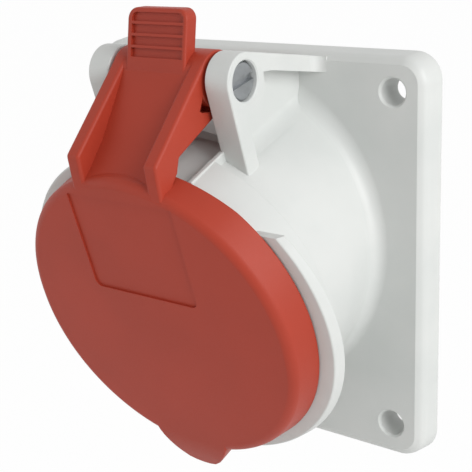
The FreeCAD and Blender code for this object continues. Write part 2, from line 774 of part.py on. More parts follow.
# Contact carrier: the round insert with five entries and the flange that seats it
def make_carrier():
    body = new_body("contact_carrier")
    on_throat_axis(body)
    profile = new_sketch(body, "XZ_Plane")
    outline(profile, [
        ("0", CARRIER_FACE),
        ("carrier_dia / 2", CARRIER_FACE),
        ("carrier_dia / 2", SEAT_HEIGHT),
        ("carrier_flange_dia / 2", SEAT_HEIGHT),
        ("carrier_flange_dia / 2", CARRIER_BACK),
        ("0", CARRIER_BACK),
    ])
    turned(body, "Revolution", profile, "V_Axis")
    face_height = size("lid_reach") - size("carrier_sunk")
    rounded(body, "entry_clearance", lambda edge: near(edge.BoundBox.ZMin, face_height)
            and near(edge.BoundBox.ZMax, face_height))
    entries = new_sketch(body, "XY_Plane", CARRIER_FACE)
    for pole, turn in POLES:
        circle(entries, pole_place(turn), pole_pin(pole) + " + 2 * entry_clearance")
    add_feature(body, "Pocket", entries, "2 * entry_depth")
    bores = new_sketch(body, "XY_Plane", CARRIER_BACK)
    for pole, turn in POLES:
        circle(bores, pole_place(turn),
               pole_pin(pole) + " + 2 * (contact_clearance + contact_wall + bore_clearance)")
    add_feature(body, "Pocket", bores, "%s - %s" % (SLEEVE_FRONT, CARRIER_BACK), reverse=True)
    pilot = new_sketch(body, "XY_Plane", CARRIER_BACK)
    circle(pilot, ("0", "0"), "joint_screw_dia")
    add_feature(body, "Pocket", pilot, "joint_screw_length", reverse=True)


# Terminal block: the moulding behind the carrier that holds the wire clamps
def make_block():
    body = new_body("terminal_block")
    on_throat_axis(body)
    profile = new_sketch(body, "XY_Plane", "%s - block_length" % BLOCK_FRONT)
    circle(profile, ("0", "0"), "block_dia")
    add_feature(body, "Pad", profile, "block_length")
    chambers = new_sketch(body, "XY_Plane", BLOCK_FRONT)
    for pole, turn in POLES:
        circle(chambers, pole_place(turn), clamp_size(pole) + " + 2 * fit_gap")
    circle(chambers, ("0", "0"), "joint_screw_dia + 2 * fit_gap")
    add_feature(body, "Pocket", chambers, "block_length")
    access = new_sketch(body, "XZ_Plane", "pole_circle_dia / 2")
    circle(access, ("0", CLAMP_HEIGHT), "clamp_screw_dia + 2 * fit_gap")
    hole = add_feature(body, "Pocket", access, "block_dia / 2", reverse=True)
    around_poles(body, hole)


def around_poles(body, feature):
    """Repeats a feature at the five poles, round the throat's axis."""
    pattern = body.newObject("PartDesign::PolarPattern", body.Label + "_pattern")
    pattern.Originals = [feature]
    pattern.Axis = ([line for line in body.Origin.OriginFeatures if line.Role == "Z_Axis"][0], [""])
    pattern.Angle = 360
    pattern.Occurrences = len(POLES)
    body.Tip = pattern
    document.recompute()


def clamp_size(pole):
    return "(clamp_dia + %s - pole_pin_dia)" % pole_pin(pole)


# Contacts: turned brass sleeves, slit at the mouth, with a clamp for the wire behind
def make_contact(pole, turn):
    body = new_body("contact_" + pole)
    on_pole(body, turn)
    inner = "(%s / 2 + contact_clearance)" % pole_pin(pole)
    outer = "(%s + contact_wall)" % inner
    clamp = clamp_size(pole) + " / 2"
    clip_top = "(%s - clip_drop)" % SLEEVE_FRONT
    profile = new_sketch(body, "XZ_Plane")
    outline(profile, [
        (inner, SLEEVE_FRONT + " - fit_gap"),
        (outer, SLEEVE_FRONT + " - fit_gap"),
        (outer, clip_top),
        (outer + " - clip_groove", clip_top),
        (outer + " - clip_groove", clip_top + " - clip_width"),
        (outer, clip_top + " - clip_width"),
        (outer, BLOCK_FRONT),
        (clamp, BLOCK_FRONT),
        (clamp, BLOCK_FRONT + " - clamp_length"),
        ("wire_dia / 2", BLOCK_FRONT + " - clamp_length"),
        ("wire_dia / 2", BLOCK_FRONT + " - clamp_length + wire_depth"),
        ("0", BLOCK_FRONT + " - clamp_length + wire_depth"),
        ("0", SLEEVE_FRONT + " - contact_depth"),
        (inner, SLEEVE_FRONT + " - contact_depth"),
    ])
    turned(body, "Revolution", profile, "V_Axis")
    for plane in ("XZ_Plane", "YZ_Plane"):
        slit = new_sketch(body, plane)
        rectangle(slit, "-" + clamp, clamp, SLEEVE_FRONT + " - contact_slit_depth",
                  SLEEVE_FRONT)
        add_feature(body, "Pocket", slit, "contact_slit", middle=True)
    hole = new_sketch(body, "XZ_Plane")
    circle(hole, ("0", CLAMP_HEIGHT), "clamp_screw_dia + 2 * fit_gap")
    add_feature(body, "Pocket", hole, "clamp_dia")


# Clips: open steel rings that press the slit mouths together
def make_clip(pole, turn):
    body = new_body("contact_clip_" + pole)
    on_pole(body, turn)
    inner = "(%s / 2 + contact_clearance + contact_wall - clip_groove)" % pole_pin(pole)
    top = "(%s - clip_drop)" % SLEEVE_FRONT
    profile = new_sketch(body, "XZ_Plane")
    rectangle(profile, inner, inner + " + clip_thick", top + " - clip_width", top)
    turned(body, "Revolution", profile, "V_Axis", "360 - clip_gap_angle")


# Joint screw: fastens the terminal block to the carrier
def make_joint_screw():
    body = new_body("carrier_screw")
    on_throat_axis(body)
    profile = new_sketch(body, "XZ_Plane")
    head = "(%s - block_length)" % BLOCK_FRONT
    outline(profile, [
        ("0", head + " - joint_head_height"),
        ("joint_head_dia / 2", head + " - joint_head_height"),
        ("joint_head_dia / 2", head),
        ("joint_screw_dia / 2", head),
        ("joint_screw_dia / 2", CARRIER_BACK + " + joint_screw_length - screw_tip_room"),
        ("0", CARRIER_BACK + " + joint_screw_length - screw_tip_room"),
    ])
    turned(body, "Revolution", profile, "V_Axis")


# Lock ring: an open steel ring that keeps the carrier's flange on its seat
def make_lock_ring():
    body = new_body("lock_ring")
    on_throat_axis(body)
    profile = new_sketch(body, "XZ_Plane")
    rectangle(profile, "ring_groove_dia / 2 - fit_gap - lock_ring_width",
              "ring_groove_dia / 2 - fit_gap",
              CARRIER_BACK + " - fit_gap - lock_ring_thick", CARRIER_BACK + " - fit_gap")
    turned(body, "Revolution", profile, "V_Axis", "360 - lock_ring_gap_angle")


# Clamp screws: five alike, each pressing on the wire in its clamp
def make_clamp_screws():
    body = new_body("terminal_screws")
    body.AllowCompound = True
    on_throat_axis(body)
    shank = new_sketch(body, "XZ_Plane", "pole_circle_dia / 2 + wire_dia / 2")
    circle(shank, ("0", CLAMP_HEIGHT), "clamp_screw_dia")
    around_poles(body, add_feature(body, "Pad", shank, "clamp_screw_length"))


def make_poles():
    for pole, turn in POLES:
        make_contact(pole, turn)
        make_clip(pole, turn)


def check_features():
    faults = [thing.Label for thing in document.Objects
              if {"Invalid", "Error"} & set(thing.State)]
    if faults:
        raise RuntimeError("failed features: " + ", ".join(faults))


def export_pieces():
    pieces = [thing for thing in document.Objects
              if thing.TypeId == "PartDesign::Body" or thing.TypeId == "Part::Feature"]
    for piece in pieces:
        if piece.Shape.isNull() or not piece.Shape.isValid():
            raise RuntimeError("bad shape: " + piece.Label)
    os.makedirs("parts", exist_ok=True)
    for piece in pieces:
        piece.Shape.exportStep(os.path.join("parts", piece.Label + ".step"))
        print(piece.Label, len(piece.Shape.Solids), round(piece.Shape.Volume, 1))


make_housing()
make_lid()
make_lid_seal()
make_panel_seal()
make_hinge_pin()
make_lid_spring()
make_carrier()
make_block()
make_poles()
make_joint_screw()
make_lock_ring()
make_clamp_screws()
document.recompute()
check_features()
export_pieces()
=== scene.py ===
import math

import bmesh
import bpy
from mathutils import Matrix, Vector


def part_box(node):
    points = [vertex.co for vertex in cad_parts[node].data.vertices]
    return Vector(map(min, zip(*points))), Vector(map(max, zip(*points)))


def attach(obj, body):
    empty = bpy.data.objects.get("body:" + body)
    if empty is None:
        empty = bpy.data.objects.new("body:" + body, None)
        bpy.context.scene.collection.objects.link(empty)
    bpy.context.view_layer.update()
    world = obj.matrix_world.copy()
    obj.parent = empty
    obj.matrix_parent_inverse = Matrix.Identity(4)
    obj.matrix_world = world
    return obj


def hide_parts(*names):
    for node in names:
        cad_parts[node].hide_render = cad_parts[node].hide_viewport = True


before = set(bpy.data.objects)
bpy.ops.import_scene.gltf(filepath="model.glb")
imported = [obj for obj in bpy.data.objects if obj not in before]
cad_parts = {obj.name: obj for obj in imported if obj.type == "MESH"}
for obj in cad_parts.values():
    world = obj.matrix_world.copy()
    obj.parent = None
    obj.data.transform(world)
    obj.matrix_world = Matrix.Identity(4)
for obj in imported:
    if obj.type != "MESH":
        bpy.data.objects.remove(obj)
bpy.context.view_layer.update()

# Floor, light and camera
# A pale studio floor well below the socket, which is made to hang on a panel. Soft light comes
# from the right and above, so the sides and tops are brighter than the faces that look forward.


def linear(code):
    """A material colour from its sRGB hex value."""
    channels = [int(code[index:index + 2], 16) / 255 for index in (1, 3, 5)]
    return [c / 12.92 if c <= 0.04045 else ((c + 0.055) / 1.055) ** 2.4 for c in channels] + [1.0]


def add_node(material, kind, settings=None, links=None):
    """A node with its settings, and links given as socket name to another node's output."""
    node = material.node_tree.nodes.new(kind)
    for name, value in (settings or {}).items():
        if name in node.inputs:
            node.inputs[name].default_value = value
        else:
            setattr(node, name, value)
    for name, output in (links or {}).items():
        material.node_tree.links.new(output, node.inputs[name])
    return node


def seen_white(tree_owner, seen, lit, target):
    """The background as the camera and mirror-like surfaces see it, apart from what it lights."""
    links = tree_owner.node_tree.links
    path = add_node(tree_owner, "ShaderNodeLightPath")
    either = add_node(tree_owner, "ShaderNodeMath", {"operation": "MAXIMUM"})
    links.new(path.outputs["Is Camera Ray"], either.inputs[0])
    links.new(path.outputs["Is Glossy Ray"], either.inputs[1])
    any_of = add_node(tree_owner, "ShaderNodeMath", {"operation": "MAXIMUM"})
    links.new(either.outputs[0], any_of.inputs[0])
    links.new(path.outputs["Is Transmission Ray"], any_of.inputs[1])
    mix = add_node(tree_owner, "ShaderNodeMixShader")
    links.new(any_of.outputs[0], mix.inputs[0])
    links.new(lit.outputs[0], mix.inputs[1])
    links.new(seen.outputs[0], mix.inputs[2])
    links.new(mix.outputs[0], target.inputs["Surface"])


white = (1, 1, 1, 1)
warm_white = (1, 0.995, 0.985, 1)
world_light = 0.505
world = bpy.data.worlds.new("studio")
world.use_nodes = True
world.node_tree.nodes.clear()
bpy.context.scene.world = world
seen_white(
    world,
    add_node(world, "ShaderNodeBackground", {"Color": white, "Strength": 1.0}),
    add_node(world, "ShaderNodeBackground", {"Color": warm_white, "Strength": world_light}),
    add_node(world, "ShaderNodeOutputWorld"))

# Matt white paint, seen almost as bright as the backdrop, so that only a trace of shadow shows.
floor_paint = bpy.data.materials.new("matt_white_floor_paint")
floor_paint.use_nodes = True
floor_paint.node_tree.nodes.clear()
matt = add_node(floor_paint, "ShaderNodeBsdfDiffuse", {"Color": linear("#f2f2f1")})
glow = add_node(floor_paint, "ShaderNodeEmission", {"Color": white, "Strength": 1.0})
paler = add_node(floor_paint, "ShaderNodeMixShader", {"Fac": 0.975})
floor_paint.node_tree.links.new(matt.outputs[0], paler.inputs[1])
floor_paint.node_tree.links.new(glow.outputs[0], paler.inputs[2])
seen_white(floor_paint, paler, matt, add_node(floor_paint, "ShaderNodeOutputMaterial"))

floor_half_width = 4.0
floor_level = -0.16
floor_mesh = bmesh.new()
bmesh.ops.create_grid(floor_mesh, x_segments=1, y_segments=1, size=floor_half_width)
bmesh.ops.translate(floor_mesh, verts=floor_mesh.verts, vec=(0, 0, floor_level))
floor_data = bpy.data.meshes.new("floor")
floor_mesh.to_mesh(floor_data)
floor_mesh.free()
floor_data.materials.append(floor_paint)
floor = bpy.data.objects.new("floor", floor_data)
bpy.context.scene.collection.objects.link(floor)


def soft_lamp(name, place, aim, size, power):
    """A square lamp of that size in metres and power in watts, turned to what it lights."""
    lamp = bpy.data.lights.new(name, "AREA")
    lamp.shape = "SQUARE"
    lamp.size = size
    lamp.energy = power
    holder = bpy.data.objects.new(name, lamp)
    holder.location = place
    holder.rotation_euler = (Vector(aim) - Vector(place)).to_track_quat("-Z", "Y").to_euler()
    bpy.context.scene.collection.objects.link(holder)


socket_middle = (0, -0.03, 0)
soft_lamp("key_light", (0.74, -0.17, 0.34), socket_middle, 0.55, 4.9)
soft_lamp("fill_light", (-0.55, -0.62, 0.1), socket_middle, 0.5, 0.6)

# The camera stands to the right and a little above, and is tipped by two degrees.
azimuth, elevation, roll = math.radians(37.987), math.radians(14.443), math.radians(-2.155)
look_at = Vector((0.016854, -0.040, 0.020694))
distance = 0.200389
back = Vector((math.sin(azimuth) * math.cos(elevation),
               -math.cos(azimuth) * math.cos(elevation), math.sin(elevation)))
across = Vector((0, 0, 1)).cross(back).normalized()
upward = back.cross(across)
turned_across = math.cos(roll) * across + math.sin(roll) * upward
turned_upward = math.cos(roll) * upward - math.sin(roll) * across
lens = bpy.data.cameras.new("camera")
lens.sensor_width = 36.0
lens.lens = 83.41
lens.shift_x = 0.04294
lens.shift_y = -0.0967
lens.clip_start = 0.01
camera = bpy.data.objects.new("camera", lens)
camera.rotation_euler = Matrix((turned_across, turned_upward, back)).transposed().to_euler()
camera.location = look_at + back * distance
bpy.context.scene.collection.objects.link(camera)
bpy.context.scene.camera = camera
bpy.context.scene.view_settings.view_transform = "Standard"

# Flange: the square plate that sits on the panel
# Moulded in one with the barrel from light grey polyamide, with rounded corners and a soft front
# edge. Four screws hold it, and a shallow groove in its back takes the rubber ring.
MM = Matrix.Scale(0.001, 4)
flange_side = 85.0
flange_thick = 6.6
flange_edge_height = 4.6
flange_corner = 5.5
flange_draft = 0.989
flange_back_edge = 0.4
# Each step of the rolled front edge goes so far in and so far forward.
flange_front_roll = ((0.28, 0.85), (0.5, 0.62), (0.85, 0.53))


def moulded_plastic(name, code, grain, roughness, darker, gloss=0.5):
    """Satin polyamide from a spark-eroded mould: a fine even grain breaks up the shine."""
    material = bpy.data.materials.new(name)
    material.use_nodes = True
    material.node_tree.nodes.clear()
    place = add_node(material, "ShaderNodeTexCoord").outputs["Object"]
    # Cells of 0.25 mm stand for the mould's 0.05 mm grain, which is too fine to show.
    grit = add_node(material, "ShaderNodeTexNoise",
                    {"Scale": 1000 / 0.25, "Detail": 2.0, "Roughness": 0.6}, {"Vector": place})
    # Flow marks, 55 to the metre or about 18 mm each, shift the tone by a percent or two.
    flow = add_node(material, "ShaderNodeTexNoise",
                    {"Scale": 55.0, "Detail": 3.0, "Roughness": 0.5}, {"Vector": place})
    tone = add_node(material, "ShaderNodeMix", {"data_type": "RGBA"})
    tone.inputs[6].default_value = linear(darker)
    tone.inputs[7].default_value = linear(code)
    spread = add_node(material, "ShaderNodeMapRange",
                      {"From Min": 0.35, "From Max": 0.6}, {"Value": flow.outputs["Fac"]})
    material.node_tree.links.new(spread.outputs["Result"], tone.inputs["Factor"])
    shine = add_node(material, "ShaderNodeMapRange",
                     {"From Min": 0.3, "From Max": 0.7, "To Min": roughness - 0.05,
                      "To Max": roughness + 0.05}, {"Value": grit.outputs["Fac"]})
    # The grain stands 0.04 mm high.
    bump = add_node(material, "ShaderNodeBump", {"Strength": grain, "Distance": 0.00004},
                    {"Height": grit.outputs["Fac"]})
    surface = add_node(material, "ShaderNodeBsdfPrincipled",
                       {"IOR": 1.53, "Specular IOR Level": gloss},
                       {"Base Color": tone.outputs[2], "Roughness": shine.outputs["Result"],
                        "Normal": bump.outputs["Normal"]})
    add_node(material, "ShaderNodeOutputMaterial", {}, {"Surface": surface.outputs["BSDF"]})
    return material


grey_polyamide = moulded_plastic("grey_moulded_polyamide", "#d3d5d3", 0.22, 0.46, "#cdd0ce")


def make_piece(name, shape, material, place=None):
    """A mesh object from a bmesh drawn in millimetres, put in place and scaled to metres."""
    bmesh.ops.remove_doubles(shape, verts=shape.verts, dist=0.0005)
    bmesh.ops.recalc_face_normals(shape, faces=shape.faces)
    if shape.calc_volume(signed=True) < 0:
        bmesh.ops.reverse_faces(shape, faces=shape.faces)
    shape.transform(MM @ (place or Matrix()))
    data = bpy.data.meshes.new(name)
    shape.to_mesh(data)
    shape.free()
    data.materials.append(material)
    piece = bpy.data.objects.new(name, data)
    bpy.context.scene.collection.objects.link(piece)
    return piece


def block(middle, sides):
    """A box with that middle and those three sides."""
    shape = bmesh.new()
    bmesh.ops.create_cube(shape, size=1.0, matrix=Matrix.Translation(middle)
                          @ Matrix.Diagonal((*sides, 1)))
    return shape


def bevel_edges(shape, edges, offset, segments):
    bmesh.ops.bevel(shape, geom=list(edges), offset=offset, offset_type="OFFSET",
                    segments=segments, profile=0.5, affect="EDGES", material=-1,
                    clamp_overlap=True)


def front_face(shape):
    return min(shape.faces, key=lambda face: face.calc_center_median().y)


# The sides draw in by half a millimetre towards the front, then roll over in three steps.
flange_shape = block((0, -flange_edge_height / 2, 0),
                     (flange_side, flange_edge_height, flange_side))
bevel_edges(flange_shape, [edge for edge in flange_shape.edges
                           if abs((edge.verts[0].co - edge.verts[1].co).y) > 1],
            flange_corner, 14)
bmesh.ops.scale(flange_shape, vec=(flange_draft, 1, flange_draft),
                verts=front_face(flange_shape).verts)
for inward, forward in flange_front_roll:
    bmesh.ops.inset_region(flange_shape, faces=[front_face(flange_shape)], thickness=inward,
                           depth=forward, use_even_offset=True)
bevel_edges(flange_shape, [edge for edge in flange_shape.edges
                           if all(vert.co.y > -0.01 for vert in edge.verts)],
            flange_back_edge, 2)
housing = make_piece("housing_moulding", flange_shape, grey_polyamide)

# Barrel: the inclined tube that the plug slides into, with the collar behind the lid
# The same grey moulding as the flange. It leans down at 18 degrees, swells out of the flange in
# a generous fillet and steps up to a slightly wider collar at its mouth.
TILT = math.radians(18)
throat_rise = 4.4
THROAT = (Matrix.Translation((0, 0, throat_rise))
          @ Matrix.Rotation(math.radians(90) + TILT, 4, "X"))
throat_radius = 28.75
seat_radius = 30.2
seat_height = 3.8
barrel_front = 30.8
barrel_tail = 31.7
barrel_end = -4.0
barrel_root_fillet = 2.8
collar_radius = 32.5
collar_mouth = 31.9
collar_back = 26.7
collar_front = 34.8
rim_radius = 31.4
rim_front = 36.4
collar_inside = throat_radius - 2


def settle(piece):
    """The piece's mesh with its modifiers applied."""
    graph = bpy.context.evaluated_depsgraph_get()
    done = bpy.data.meshes.new_from_object(piece.evaluated_get(graph))
    piece.modifiers.clear()
    old = piece.data
    piece.data = done
    done.name = old.name
    bpy.data.meshes.remove(old)


def combine(piece, other, how="DIFFERENCE"):
    """Cuts the other solid out of the piece, or joins it on."""
    cut = piece.modifiers.new("cut", "BOOLEAN")
    cut.operation = how
    cut.solver = "EXACT"
    cut.object = other
    settle(piece)
    old = other.data
    bpy.data.objects.remove(other)
    bpy.data.meshes.remove(old)


def spun(profile, steps=144, closed=True):
    """A profile of (radius, height) points turned once round the z axis."""
    shape = bmesh.new()
    points = [shape.verts.new((radius, 0, height)) for radius, height in profile]
    lines = [shape.edges.new(pair) for pair in zip(points, points[1:])]
    if closed:
        lines.append(shape.edges.new((points[-1], points[0])))
    bmesh.ops.spin(shape, geom=points + lines, cent=(0, 0, 0), axis=(0, 0, 1),
                   angle=2 * math.pi, steps=steps, use_merge=True)
    bmesh.ops.remove_doubles(shape, verts=shape.verts, dist=0.0005)
    bmesh.ops.recalc_face_normals(shape, faces=shape.faces)
    return shape


def ring_edges(shape, radius, height):
    """The edges of the circle with that radius and height."""
    def on_ring(vert):
        return (abs(math.hypot(vert.co.x, vert.co.y) - radius) < 0.01
                and abs(vert.co.z - height) < 0.01)
    return [edge for edge in shape.edges if all(on_ring(vert) for vert in edge.verts)]


barrel_length = collar_back + 1 - barrel_end
barrel_shape = bmesh.new()
bmesh.ops.create_cone(barrel_shape, cap_ends=True, segments=160, radius1=barrel_tail,
                      radius2=barrel_front, depth=barrel_length,
                      matrix=Matrix.Translation((0, 0, (collar_back + 1 + barrel_end) / 2)))
combine(housing, make_piece("barrel", barrel_shape, grey_polyamide, THROAT), "UNION")
# The fillet follows the seam where the barrel comes out of the flange's flat front.
root_shape = bmesh.new()
root_shape.from_mesh(housing.data)
seam = []
for edge in root_shape.edges:
    flat = [abs(face.normal.y) > 0.995 for face in edge.link_faces]
    level = all(abs(vert.co.y + flange_thick / 1000) < 4e-5 for vert in edge.verts)
    near = all(math.hypot(vert.co.x, vert.co.z) < 0.038 for vert in edge.verts)
    if level and near and len(flat) == 2 and any(flat) and not all(flat):
        seam.append(edge)
bevel_edges(root_shape, seam, barrel_root_fillet / 1000, 10)
root_shape.to_mesh(housing.data)
root_shape.free()

collar_shape = spun([(collar_inside, rim_front), (rim_radius, rim_front),
                     (rim_radius, collar_front), (collar_mouth, collar_front),
                     (collar_radius, collar_back), (collar_inside, collar_back)], 160)
for radius, height, rounding, steps in ((collar_radius, collar_back, 0.25, 3),
                                        (collar_mouth, collar_front, 0.4, 3),
                                        (rim_radius, rim_front, 0.5, 4)):
    bevel_edges(collar_shape, ring_edges(collar_shape, radius, height), rounding, steps)
combine(housing, make_piece("collar", collar_shape, grey_polyamide, THROAT), "UNION")

# Hinge ears: two flat cheeks that carry the lid's pin
# They stand on the barrel and the flange, moulded in one with both. Each has a round nose, a
# straight front strut and a thin top rib over a sunk web that leaves a boss round the pin.
pin_forward = 30.6
pin_rise = 39.5
ear_inner = 12.0
ear_outer = 17.5
ear_edge = 0.4
nose_radius = 5.5
ear_front = (pin_forward * math.cos(TILT) - (pin_rise - throat_rise) * math.sin(TILT)
             + nose_radius)
ear_root = 3.3
ear_root_low = 23.3
ear_foot = 21.5
top_fall = math.radians(9)
top_rib = 3.3
strut_back = ear_front - 3.76
boss_radius = 5.9
boss_from, boss_to = 8, 103
web_sunk = 4.0
web_back = 4.0
web_back_low = 22.0
web_rib_end = 22.0
foot_start, foot_pull, foot_end = 30.0, 28.6, 26.9
foot_width = 2.9
foot_back = -6.0


def at_throat(up, height):
    """A point of the middle plane, square to and along the throat's axis, as (y, z)."""
    return (-(height * math.cos(TILT) + up * math.sin(TILT)),
            throat_rise + up * math.cos(TILT) - height * math.sin(TILT))


def by_pin(forward, rise):
    return (-pin_forward - forward, pin_rise + rise)


def pin_arc(radius, first, last, steps):
    """Points round the pin, the angle measured up from straight forward."""
    angles = [math.radians(first + (last - first) * step / steps) for step in range(steps + 1)]
    return [by_pin(radius * math.cos(a), radius * math.sin(a)) for a in angles]


def top_of(extruded):
    return [item for item in extruded["geom"] if isinstance(item, bmesh.types.BMVert)]


def slab(outline, left, right):
    """An outline in the middle plane, thickened from left to right."""
    shape = bmesh.new()
    face = shape.faces.new([shape.verts.new((left, y, z)) for y, z in outline])
    grown = bmesh.ops.extrude_face_region(shape, geom=[face])
    bmesh.ops.translate(shape, vec=(right - left, 0, 0), verts=top_of(grown))
    bmesh.ops.recalc_face_normals(shape, faces=shape.faces)
    return shape


def prism(outline, low, high):
    """An outline square to the z axis, thickened from low to high."""
    shape = bmesh.new()
    face = shape.faces.new([shape.verts.new((x, y, low)) for x, y in outline])
    grown = bmesh.ops.extrude_face_region(shape, geom=[face])
    bmesh.ops.translate(shape, vec=(0, 0, high - low), verts=top_of(grown))
    bmesh.ops.recalc_face_normals(shape, faces=shape.faces)
    return shape


def round_off(shape, radius, segments=4, sharper=25, where=None):
    """Small radii on the edges where two faces meet at more than the given angle."""
    picked = [edge for edge in shape.edges
              if len(edge.link_faces) == 2 and edge.calc_face_angle(0) > math.radians(sharper)
              and (where is None or where(edge))]
    bevel_edges(shape, picked, radius, segments)


def ear_top(forward):
    return (pin_rise + nose_radius / math.cos(top_fall)
            - math.tan(top_fall) * (pin_forward - forward))


pin_up = pin_forward * math.sin(TILT) + (pin_rise - throat_rise) * math.cos(TILT)
pin_height = ear_front - nose_radius
for side in (-1, 1):
    ear = slab(pin_arc(nose_radius, -18, 99, 18)
               + [(-ear_root, ear_top(ear_root)), (-ear_root, ear_root_low),
                  at_throat(ear_foot, ear_front)],
               side * ear_inner, side * ear_outer)
    round_off(ear, ear_edge, 3)
    ear_piece = make_piece("ear", ear, grey_polyamide)
    # The web is sunk deep behind the strut and under the top rib, round the pin's boss.
    round_boss = []
    for step in range(13):
        turn = math.radians(boss_from + (boss_to - boss_from) * step / 12)
        round_boss.append(at_throat(pin_up - boss_radius * math.sin(turn),
                                    pin_height - boss_radius * math.cos(turn)))
    web = slab([(-web_back, ear_top(web_back) - top_rib),
                (-web_rib_end, ear_top(web_rib_end) - top_rib)] + round_boss
               + [at_throat(35.6, strut_back + 0.25), at_throat(34.0, strut_back),
                  at_throat(20.0, strut_back), (-web_back, web_back_low)],
               side * (ear_outer - web_sunk), side * (ear_outer + 2))
    combine(ear_piece, make_piece("web", web, grey_polyamide))
    combine(housing, ear_piece, "UNION")
    # The web runs out onto the barrel in a small hollow curve.
    foot = []
    for step in range(9):
        t = step / 8
        foot.append((side * (ear_outer - web_sunk + foot_width * t * t),
                     foot_start * (1 - t) ** 2 + foot_pull * 2 * t * (1 - t) + foot_end * t * t))
    foot += [(side * (ear_outer - web_sunk - 0.5), foot_end - 1.3),
             (side * (ear_outer - web_sunk - 0.5), foot_start)]
    run_out = prism(foot, foot_back, strut_back)
    combine(housing, make_piece("run_out", run_out, grey_polyamide, THROAT), "UNION")

# The top rib's outer side runs out on the flange in a hollow curve.
hollow = 2.6
corner_low, corner_high = 38.0, 41.2
corner_edge = 0.35
for side in (-1, 1):
    curve = []
    for step in range(9):
        turn = math.radians(180 - 90 * step / 8)
        curve.append((side * (ear_outer + hollow + hollow * math.cos(turn)),
                      -flange_thick - hollow + hollow * math.sin(turn)))
    curve += [(side * (ear_outer + hollow), 1 - flange_thick),
              (side * (ear_outer - 0.6), 1 - flange_thick),
              (side * (ear_outer - 0.6), -flange_thick - hollow)]
    corner = prism(curve, corner_low, corner_high)
    for vert in corner.verts:
        vert.co.z += math.tan(top_fall) * (-vert.co.y - flange_thick)
    round_off(corner, corner_edge, 3, 60,
              lambda edge: all(vert.co.z > corner_high - 0.3 for vert in edge.verts)
              and any(vert.co.y < -flange_thick - 0.1 for vert in edge.verts))
    combine(housing, make_piece("corner", corner, grey_polyamide), "UNION")

# Lip: the ledge round the lower collar that shields the lid's edge
# A thin rim moulded on the collar. On the left it runs up to the hinge, on the right it is cut
# off level lower down. It thins out towards its ends.
lip_left = math.radians(119)
lip_right = math.radians(400)
lip_inside = 30.5
lip_front, lip_front_radius = 34.95, 37.2
lip_back, lip_back_radius = 32.4, 38.1
lip_edge = 0.3
lip_stop = 20.7
right_pull = 0.026
left_pull_low, left_pull_rise = 0.043, 0.0027
back_lift = 1.1
back_pull = 0.035
lip_shape = bmesh.new()
lip_profile = [lip_shape.verts.new((radius, 0, height)) for radius, height in (
    (lip_inside, lip_front), (lip_front_radius, lip_front),
    (lip_back_radius, lip_back), (lip_inside, lip_back))]
lip_lines = [lip_shape.edges.new((lip_profile[index], lip_profile[(index + 1) % 4]))
             for index in range(4)]
bmesh.ops.rotate(lip_shape, verts=lip_shape.verts, cent=(0, 0, 0),
                 matrix=Matrix.Rotation(lip_left, 3, "Z"))
bmesh.ops.spin(lip_shape, geom=lip_profile + lip_lines, cent=(0, 0, 0), axis=(0, 0, 1),
               angle=lip_right - lip_left, steps=160)
bmesh.ops.holes_fill(lip_shape, edges=[edge for edge in lip_shape.edges if edge.is_boundary])
bmesh.ops.recalc_face_normals(lip_shape, faces=lip_shape.faces)
# From 25 degrees below the middle upwards, the rim draws in and its back comes forward.
for vert in lip_shape.verts:
    reach = math.hypot(vert.co.x, vert.co.y)
    up_side = max(0.0, math.degrees(math.asin(vert.co.y / reach)) + 25) / 60
    ease = min(1.0, up_side) ** 2
    if reach > 34:
        left_pull = left_pull_low + left_pull_rise * max(0.0, vert.co.y - 22)
        pull = 1 - (right_pull if vert.co.x > 0 else left_pull) * ease
        vert.co.x *= pull
        vert.co.y *= pull
    if vert.co.z < 33:
        vert.co.z += back_lift * ease
        if reach > 34 and vert.co.x < 0:
            vert.co.x *= 1 - back_pull * ease
            vert.co.y *= 1 - back_pull * ease
round_off(lip_shape, lip_edge, 3, 40)
lip = make_piece("lip", lip_shape, grey_polyamide, THROAT)
# The right end is cut off level, square to the throat.
above = block((22.5, lip_stop + 10, 34), (45, 20, 10))
combine(lip, make_piece("above", above, grey_polyamide, THROAT))
combine(housing, lip, "UNION")

# Cuts in the housing: the throat, its keyway, the insert's seat, the screw holes and the pin's bore
# Cores in the mould leave them. Between the ears a deep pocket makes room for the lid's arm and
# spring, with its edges raised in a rounded bead.
BACKWARD = Matrix.Rotation(math.radians(90), 4, "X")
PIN_AXIS = (Matrix.Translation((0, -pin_forward, pin_rise))
            @ Matrix.Rotation(math.radians(90), 4, "Y"))
keyway_width, keyway_depth, keyway_length, keyway_middle = 6.4, 3.6, 32.8, 20.1
screw_place = 35.0
hole_back_radius, hole_front_radius, hole_mouth_radius = 2.3, 2.7, 3.15
hole_mouth_back, hole_mouth_front = 6.15, 6.65
groove_inner, groove_outer, groove_depth = 38.2, 40.4, 1.5
pin_bore = 2.05
pin_tip_depth = 3.5
head_bore, head_mouth = 3.9, 4.2
head_bore_depth = 3.3
cut_back, cut_front = -40, 45
pocket_middle, pocket_sides = (0, 33.0, 26.3), (23.8, 16.0, 16.6)
pocket_floor_radius = 29.3
bead_inner, bead_outer = 11.65, 12.8
bead_low, bead_high = 28.0, 30.4
bead_back, bead_front = 22.0, 34.4
bead_drop = 0.65
bead_edge = 0.3


def rod(radius, low, high, place, sides=64):
    """A round cutter or stub along the place's z axis, in millimetres."""
    shape = bmesh.new()
    bmesh.ops.create_cone(shape, cap_ends=True, segments=sides, radius1=radius, radius2=radius,
                          depth=high - low, matrix=Matrix.Translation((0, 0, (low + high) / 2)))
    return make_piece("rod", shape, grey_polyamide, place)


def smooth_by_angle(piece, angle=32):
    for polygon in piece.data.polygons:
        polygon.use_smooth = True
    piece.data.set_sharp_from_angle(angle=math.radians(angle))


